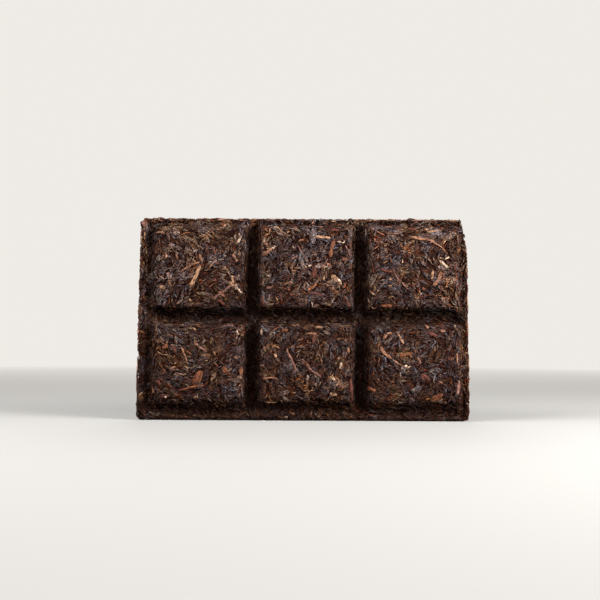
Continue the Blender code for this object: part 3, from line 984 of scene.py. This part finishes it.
# The strands along the lip, leaf lying along the edge that partly stands for a painted highlight
# where light grazes the lip: their colours, and their least and most length and width in millimetres.
LIP_COLOURS = ("tan", "rose", "orange", "rust", "rust", "tan")
LIP_LENGTHS = (1.2, 4.0)
LIP_WIDTHS = (0.25, 0.5)


def stem_template():
    return Template(model_strand("leaf_stem", STEM_PROFILE, STEM_STATIONS, STEM_TAPERS))


def blade_template():
    return Template(model_strand("leaf_blade", BLADE_PROFILE, BLADE_STATIONS, BLADE_TAPERS))


def strand_template():
    return Template(model_strand("leaf_strand", STRAND_PROFILE, STRAND_STATIONS, STRAND_TAPERS))


def fibre_template():
    return Template(model_strand("leaf_fibre", FIBRE_PROFILE, FIBRE_STATIONS, FIBRE_TAPERS))


def crumb_template():
    """A small rough ball, which lies at one place and doesn't bend."""
    deselect_all()
    bpy.ops.mesh.primitive_ico_sphere_add(subdivisions=1, radius=0.5)
    crumb = bpy.context.object
    return Template(crumb, rigid=True)


class TEA_OT_core(Operator):
    """Adds the dark packed core that the leaf is pressed into"""

    bl_idname = "tea_brick.add_core"
    bl_label = "Packed core"

    def execute(self, context):
        sizes = context.scene.tea_core
        core = remeshed_brick("packed_core", sizes.voxel)
        relief = bpy.data.textures.new("leaf_relief", "VORONOI")
        relief.noise_scale = sizes.relief_spacing
        relief.distance_metric = "DISTANCE"
        # This middle level also lowers the whole relief, by the depth to which the core is sunk.
        add_modifier(
            core, "DISPLACE", texture=relief, texture_coords="LOCAL", strength=sizes.relief,
            mid_level=0.5 + sizes.sunk / sizes.relief,
        )
        for point in core.data.vertices:
            point.co.z = max(point.co.z, 0.0)
        places = np.array([point.co for point in core.data.vertices])
        # The depth of painted shade on the core.
        store(core.data, "shelter", "FLOAT", "value", leaf_bed().shelter(places))
        core.data.shade_smooth()
        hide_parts(NODE)
        hand_in(core, core_finish(sizes))
        return {"FINISHED"}


class TEA_OT_broad_leaf(Operator):
    """Adds the broad creased leaves that lie flat under the rest"""

    bl_idname = "tea_brick.add_broad_leaf"
    bl_label = "Broad leaf"

    def execute(self, context):
        add_leaf(
            "broad_leaf", blade_template(), context.scene.tea_broad_leaf, roll_spread=0.22, twist=0.4,
            bend=0.28, depth=0.34 * MM, flow=2.0, tone_power=1.3,
        )
        return {"FINISHED"}


class TEA_OT_brown_leaf(Operator):
    """Adds the smaller brown leaves"""

    bl_idname = "tea_brick.add_brown_leaf"
    bl_label = "Brown leaf"

    def execute(self, context):
        add_leaf(
            "brown_leaf", blade_template(), context.scene.tea_brown_leaf, roll_spread=0.28, twist=0.5,
            bend=0.39, depth=0.40 * MM, flow=1.6, tone_power=1.5, gathered=1.2,
        )
        return {"FINISHED"}


class TEA_OT_rolled_leaf(Operator):
    """Adds the dark rolled leaf strands"""

    bl_idname = "tea_brick.add_rolled_leaf"
    bl_label = "Rolled leaf"

    def execute(self, context):
        add_leaf(
            "rolled_leaf", strand_template(), context.scene.tea_rolled_leaf, roll_spread=1.5, twist=1.6,
            bend=0.55, depth=0.38 * MM, flow=1.6, tone_power=1.5,
        )
        return {"FINISHED"}


class TEA_OT_grey_leaf(Operator):
    """Adds the greyish strands with a dull sheen"""

    bl_idname = "tea_brick.add_grey_leaf"
    bl_label = "Grey leaf"

    def execute(self, context):
        add_leaf(
            "grey_leaf", strand_template(), context.scene.tea_grey_leaf, roll_spread=1.5, twist=1.4,
            bend=0.55, depth=0.34 * MM, flow=1.6, tone_power=1.6, gathered=1.0,
        )
        return {"FINISHED"}


class TEA_OT_fine_leaf(Operator):
    """Adds the thin curly fibres that lie on top"""

    bl_idname = "tea_brick.add_fine_leaf"
    bl_label = "Fine leaf"

    def execute(self, context):
        add_leaf(
            "fine_leaf", fibre_template(), context.scene.tea_fine_leaf, roll_spread=1.5, twist=1.5,
            bend=0.72, depth=0.26 * MM, flow=1.8, tone_power=2.1,
        )
        return {"FINISHED"}


class TEA_OT_red_leaf(Operator):
    """Adds the reddish-brown strands"""

    bl_idname = "tea_brick.add_red_leaf"
    bl_label = "Red leaf"

    def execute(self, context):
        add_leaf(
            "red_leaf", strand_template(), context.scene.tea_red_leaf, roll_spread=1.5, twist=1.2,
            bend=0.44, depth=0.34 * MM, flow=1.2, tone_power=1.8, gathered=2.2, dust=0.1,
        )
        return {"FINISHED"}


class TEA_OT_golden_tips(Operator):
    """Adds the tan and golden tips"""

    bl_idname = "tea_brick.add_golden_tips"
    bl_label = "Golden tips"

    def execute(self, context):
        add_leaf(
            "golden_tips", strand_template(), context.scene.tea_golden_tips, roll_spread=1.5, twist=1.0,
            bend=0.33, depth=0.18 * MM, flow=1.0, tone_power=1.5, gathered=2.2, dust=0.1,
        )
        return {"FINISHED"}


class TEA_OT_crumbs(Operator):
    """Adds the small crumbs between the leaves"""

    bl_idname = "tea_brick.add_crumbs"
    bl_label = "Crumbs"

    def execute(self, context):
        add_leaf(
            "crumbs", crumb_template(), context.scene.tea_crumbs, roll_spread=1.5, twist=0.0, bend=0.0,
            depth=0.34 * MM, flow=0.0, tone_power=2.2, gathered=0.8,
        )
        return {"FINISHED"}


class TEA_OT_stems(Operator):
    """Adds the stems and flakes that stand out, and the strands along the lip"""

    bl_idname = "tea_brick.add_stems"
    bl_label = "Stems and flakes"

    def execute(self, context):
        sizes = context.scene.tea_stems
        rng = np.random.default_rng(sizes.seed)
        stems = [feature for feature in FEATURES if feature[1] < FLAKE_WIDTH]
        flakes = [feature for feature in FEATURES if feature[1] >= FLAKE_WIDTH]
        pieces = (
            ("stems", stem_template(), stems + lip_strands(sizes, rng)),
            ("flakes", blade_template(), flakes),
        )
        for name, template, features in pieces:
            thing = laid_features(name, template, features, sizes, rng)
            hand_in(thing, stem_finish(name))
        return {"FINISHED"}


def lip_strands(sizes, rng):
    """Thin strands that lie end to end along the outline."""
    strands = []
    left, right, top = LOW.x / MM, HIGH.x / MM, HIGH.z / MM
    for _ in range(sizes.lip_count):
        colour = LIP_COLOURS[rng.integers(len(LIP_COLOURS))]
        length = rng.uniform(*LIP_LENGTHS)
        width = rng.uniform(*LIP_WIDTHS)
        side = rng.uniform()
        if side < 0.5:
            start = rng.uniform(left + 1.0, right - 5.0)
            path = ((start, top + 1.0), (start + length, top + 1.0))
        elif side < 0.75:
            start = rng.uniform(1.0, top - 5.0)
            path = ((left - 1.0, start), (left - 1.0, start + length))
        else:
            start = rng.uniform(1.0, top - 12.0)
            path = ((right + 1.0, start), (right + 1.0, start + length))
        strands.append((colour, width, *path))
    return strands


def laid_features(name, template, features, sizes, rng):
    """A joined mesh of these stems or flakes, each in its own place."""
    bed = leaf_bed()
    count = len(features)
    spine = np.zeros((count, len(template.stations), 3))
    normals = np.zeros_like(spine)
    lengths = np.zeros(count)
    tints = np.ones((count, 4))
    for row, (colour, _, *path) in enumerate(features):
        path = np.array(path) * MM
        along = np.concatenate([[0.0], np.cumsum(np.linalg.norm(np.diff(path, axis=0), axis=1))])
        lengths[row] = along[-1]
        tints[row, :3] = np.array(getattr(sizes, colour)) * rng.uniform(0.85, 1.15)
        for column, station in enumerate(template.stations):
            x = np.interp(station * along[-1], along, path[:, 0])
            z = np.interp(station * along[-1], along, path[:, 1])
            spine[row, column], normals[row, column] = bed.faced(x, z)
    widths = np.array([feature[1] for feature in features]) * MM
    thicknesses = np.minimum(sizes.thickness, 0.8 * widths)
    middle = template.stations - 0.5
    rolls = rng.normal(0.0, 0.15, count)[:, None] + rng.normal(0.0, 0.3, count)[:, None] * middle
    reach = np.abs(widths[:, None] * np.sin(rolls)) + np.abs(thicknesses[:, None] * np.cos(rolls))
    lifts = sizes.rise * rng.uniform(0.6, 1.0, count)[:, None] - reach * template.height
    lifts = lifts - 0.25 * MM * (2 * middle) ** 6
    points, grain = dressed(
        template, spine, normals, lengths, widths, thicknesses, rolls, lifts, rng, rough=0.08 * MM
    )
    thing = piece_from(name, template, points, np.zeros(count), grain, bed.shelter(spine))
    tint = thing.data.attributes.new("tint", "FLOAT_COLOR", "POINT")
    tint.data.foreach_set("color", np.repeat(tints, points.shape[1], 0).astype(np.float32).ravel())
    return thing


def stem_finish(name):
    """Stem and old leaf: each piece in its own tint, streaked along its length."""
    finish = Finish(name)
    grain = finish.attribute("grain", "Vector")
    # Dark streaks along the piece, and dark mottling over both.
    streak = finish.noise(finish.scaled(grain, (3.2, 0.35, 1.0)), 1.0, 3.0, 0.6)
    mottle = finish.noise(finish.scaled(grain, (1.6, 1.1, 1.0)), 1.0, 3.0, 0.65)
    tint = finish.attribute("tint", "Color")
    colour = finish.mix(streak.over(0.46, 0.62) * 0.7, tint, (0.034, 0.011, 0.006))
    colour = finish.mix(mottle.over(0.48, 0.62) * 0.75, colour, (0.040, 0.014, 0.009))
    # Painted shade in the scoring and near the foot.
    colour = finish.with_painted_shade(colour, PAINTED_SHADE_STEM)
    bump = finish.node("Bump", {}, {"Strength": 0.8, "Distance": 0.12 * MM, "Height": 1.0 - streak})
    return finish.set(Base_Color=colour, Roughness=0.55, Normal=bump, Specular_IOR_Level=0.05)


class TEA_OT_stage(Operator):
    """Adds the floor, the backdrop, the lamps and the camera"""

    bl_idname = "tea_brick.set_stage"
    bl_label = "Stage"

    def execute(self, context):
        sizes = context.scene.tea_stage
        add_floor(sizes)
        add_world(sizes)
        near, far = sizes.side_distance, sizes.front_distance
        lamps = (
            ("left_lamp", near, -sizes.side_turn, sizes.left_height, sizes.left_watts),
            ("right_lamp", near, sizes.side_turn, sizes.right_height, sizes.right_watts),
            ("front_lamp", far, 0.0, sizes.front_height, sizes.front_watts),
            ("back_lamp", far, math.pi, sizes.back_height, sizes.back_watts),
        )
        for name, distance, turn, height, watts in lamps:
            add_lamp(name, distance, turn, height, watts)
        add_camera(sizes)
        context.scene.view_settings.view_transform = "Standard"
        return {"FINISHED"}


def add_floor(sizes):
    """A wide pale floor that passes into the colour of the backdrop in the distance."""
    deselect_all()
    bpy.ops.mesh.primitive_plane_add(size=20.0, location=(0.0, 0.0, 0.0))
    floor = bpy.context.object
    floor.name = "floor"
    finish = Finish("floor")
    finish.set(Base_Color=(*sizes.floor, 1.0), Roughness=0.9, Specular_IOR_Level=0.1)
    place = finish.node("TexCoord", output="Object")
    away = finish.node("VectorMath", {"operation": "LENGTH"}, {0: place}, output="Value")
    glow = finish.node("Emission", {}, {"Color": (*sizes.backdrop, 1.0)})
    either = finish.node("MixShader", {}, {"Fac": away.over(*FLOOR_FADE)})
    finish.tree.links.new(finish.shader.outputs[0], either.socket.node.inputs[1])
    finish.tree.links.new(glow.socket, either.socket.node.inputs[2])
    finish.tree.links.new(either.socket, finish.tree.nodes["Material Output"].inputs["Surface"])
    floor.data.materials.append(finish.material)
    floor.visible_diffuse = False
    floor.visible_glossy = False


def add_world(sizes):
    """An even pale backdrop for the camera, and a dim even fill for the surfaces."""
    world = bpy.data.worlds.new("studio")
    world.use_nodes = True
    tree = world.node_tree
    backdrop = tree.nodes["Background"]
    backdrop.inputs["Color"].default_value = (*sizes.backdrop, 1.0)
    fill = tree.nodes.new("ShaderNodeBackground")
    fill.inputs["Color"].default_value = (1.0, 1.0, 1.0, 1.0)
    fill.inputs["Strength"].default_value = sizes.fill
    rays = tree.nodes.new("ShaderNodeLightPath")
    either = tree.nodes.new("ShaderNodeMixShader")
    tree.links.new(rays.outputs["Is Camera Ray"], either.inputs["Fac"])
    tree.links.new(fill.outputs[0], either.inputs[1])
    tree.links.new(backdrop.outputs[0], either.inputs[2])
    tree.links.new(either.outputs[0], tree.nodes["World Output"].inputs["Surface"])
    bpy.context.scene.world = world


def add_lamp(name, distance, turn, height, watts):
    """A soft square lamp aimed at the brick, by its turn from the front and its height above the level."""
    level = distance * math.cos(height)
    place = Vector((level * math.sin(turn), -level * math.cos(turn), distance * math.sin(height)))
    bpy.ops.object.light_add(type="AREA", location=place)
    lamp = bpy.context.object
    lamp.name = name
    lamp.data.shape = "SQUARE"
    lamp.data.size = LAMP_SIDE * distance
    lamp.data.energy = watts
    aim = Vector((0.0, 0.0, HIGH.z / 2))
    lamp.rotation_euler = (aim - place).to_track_quat("-Z", "Y").to_euler()


def add_camera(sizes):
    """A camera low in front of the brick, tilted a little up."""
    tilt = Euler((math.pi / 2 + sizes.pitch, 0.0, 0.0))
    tilt.rotate_axis("Z", sizes.roll)
    bpy.ops.object.camera_add(location=(-sizes.aside, -sizes.distance, sizes.eye_height), rotation=tilt)
    camera = bpy.context.object
    camera.data.lens = sizes.lens
    camera.data.sensor_width = 36.0
    camera.data.clip_start = 10 * MM
    bpy.context.scene.camera = camera


class TEA_PT_panel(Panel):
    """Lists the pieces of the tea brick"""

    bl_idname = "TEA_PT_panel"
    bl_label = "Tea Brick"
    bl_space_type = "VIEW_3D"
    bl_region_type = "UI"
    bl_category = "Tea Brick"

    def draw(self, context):
        for operator in OPERATORS:
            self.layout.operator(operator.bl_idname)


SETTINGS = {
    "tea_core": CoreSettings,
    "tea_broad_leaf": BroadLeafSettings,
    "tea_brown_leaf": BrownLeafSettings,
    "tea_rolled_leaf": RolledLeafSettings,
    "tea_grey_leaf": GreyLeafSettings,
    "tea_fine_leaf": FineLeafSettings,
    "tea_red_leaf": RedLeafSettings,
    "tea_golden_tips": GoldenTipSettings,
    "tea_crumbs": CrumbSettings,
    "tea_stems": StemSettings,
    "tea_stage": StageSettings,
}
OPERATORS = (
    TEA_OT_core,
    TEA_OT_broad_leaf,
    TEA_OT_brown_leaf,
    TEA_OT_rolled_leaf,
    TEA_OT_grey_leaf,
    TEA_OT_fine_leaf,
    TEA_OT_red_leaf,
    TEA_OT_golden_tips,
    TEA_OT_crumbs,
    TEA_OT_stems,
    TEA_OT_stage,
)


def register():
    for group in SETTINGS.values():
        bpy.utils.register_class(group)
    for kind in (*OPERATORS, TEA_PT_panel):
        bpy.utils.register_class(kind)
    for name, group in SETTINGS.items():
        setattr(bpy.types.Scene, name, PointerProperty(type=group))


def unregister():
    for name in SETTINGS:
        delattr(bpy.types.Scene, name)
    for kind in (TEA_PT_panel, *OPERATORS, *SETTINGS.values()):
        bpy.utils.unregister_class(kind)


def main():
    register()
    for operator in OPERATORS:
        family, name = operator.bl_idname.split(".")
        getattr(getattr(bpy.ops, family), name)()


if __name__ == "__main__":
    main()
